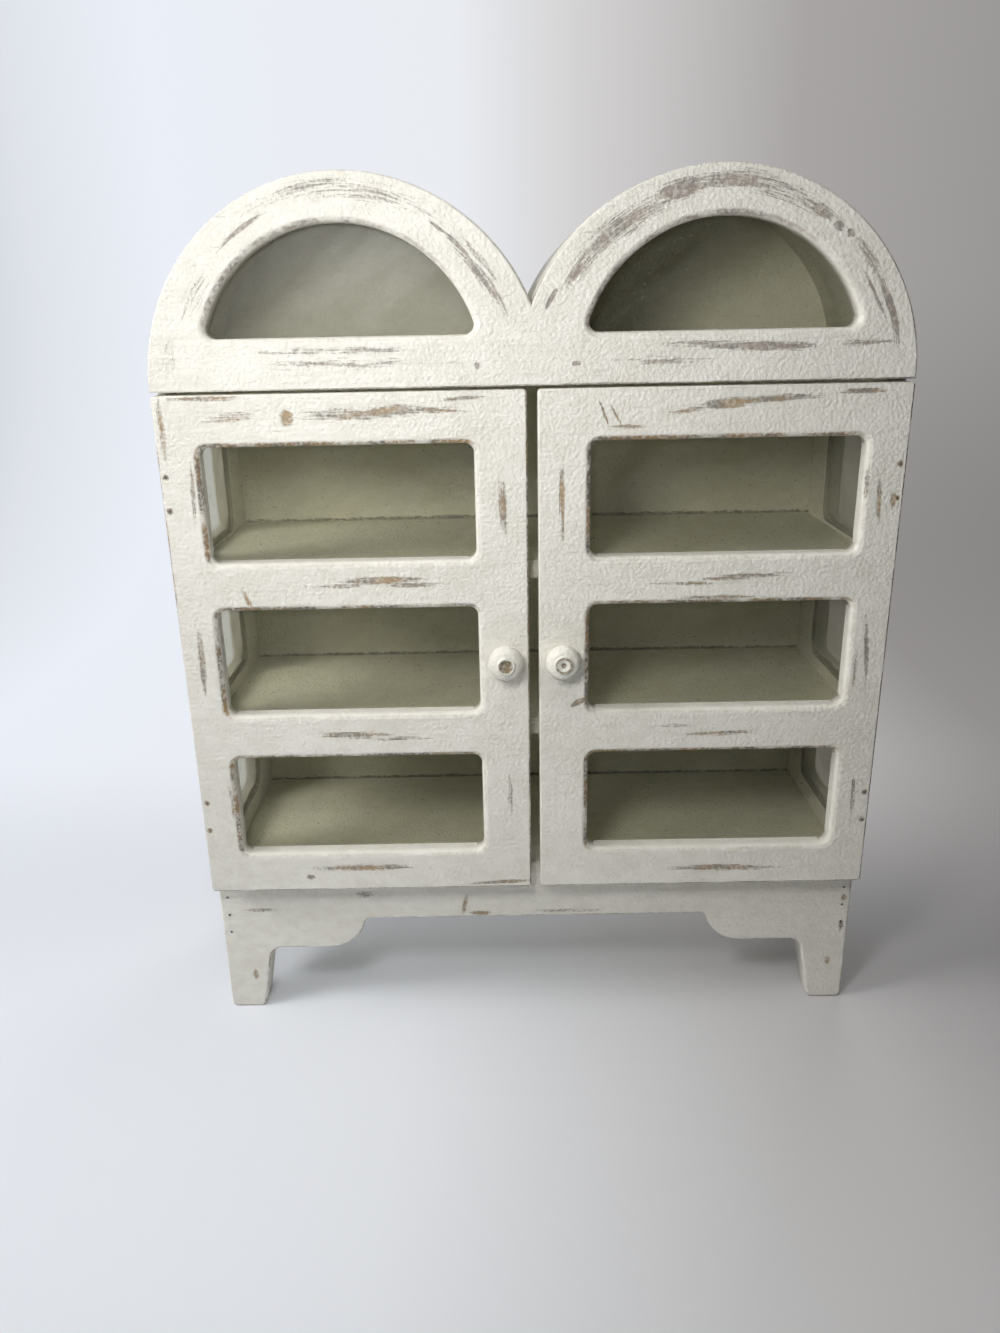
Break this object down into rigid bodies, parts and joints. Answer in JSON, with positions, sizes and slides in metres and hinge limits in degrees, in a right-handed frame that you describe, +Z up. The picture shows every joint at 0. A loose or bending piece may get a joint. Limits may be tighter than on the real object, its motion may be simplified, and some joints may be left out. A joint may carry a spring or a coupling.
{
  "type": "miniature bookcase",
  "caption": "Small double-arched display bookcase with glazed doors, glazed sides, shelves behind them and bracket feet.",
  "frame": {"origin": "on the floor, midway between the outermost points in width and in depth, with the knobs and the hinge barrels counted", "axes": "+Z up, -Y towards the viewer in front of the doors, +X to the viewer's right"},
  "size_m": [0.2438, 0.0944, 0.2998],
  "materials": {
    "paint": "cream-white brushed paint, sanded through along the grain and at the edges",
    "inner_paint": "thin matt off-white paint",
    "knob": "turned wood under cream paint, worn bare on the boss",
    "glass": "dusty clear sheet glass",
    "hinge": "small steel butt hinges painted over with the case",
    "steel": "dull steel wire"
  },
  "bodies": {
    "carcass": {"front_apron": "paint", "left_apron": "paint", "right_apron": "paint", "bottom_board": "inner_paint", "left_side": "paint", "right_side": "paint", "lower_shelf": "inner_paint", "upper_shelf": "inner_paint", "top_board": "inner_paint", "back_panel": "inner_paint", "left_roof": "paint", "right_roof": "paint", "arch_front": "paint", "left_arch_pane": "glass", "right_arch_pane": "glass", "left_side_panes": "glass", "right_side_panes": "glass", "left_case_leaves": "hinge", "right_case_leaves": "hinge", "left_hinge_pins": "steel", "right_hinge_pins": "steel", "case_hinge_nails": "steel", "shelf_nails": "steel", "top_board_nails": "steel", "bottom_board_nails": "steel", "apron_nails": "steel", "back_nails": "steel"},
    "left_door": {"left_door": "paint", "left_door_panes": "glass", "left_knob": "knob", "left_door_leaves": "hinge", "left_door_nails": "steel"},
    "right_door": {"right_door": "paint", "right_door_panes": "glass", "right_knob": "knob", "right_door_leaves": "hinge", "right_door_nails": "steel"}
  },
  "joints": [
    {"name": "left_door_hinge", "type": "hinge", "parent": "carcass", "child": "left_door", "pos_m": [-0.1207, -0.03075, 0.1468], "axis": [0, 0, -1], "range_deg": [0, 170]},
    {"name": "right_door_hinge", "type": "hinge", "parent": "carcass", "child": "right_door", "pos_m": [0.1207, -0.03075, 0.1468], "axis": [0, 0, 1], "range_deg": [0, 170]}
  ]
}
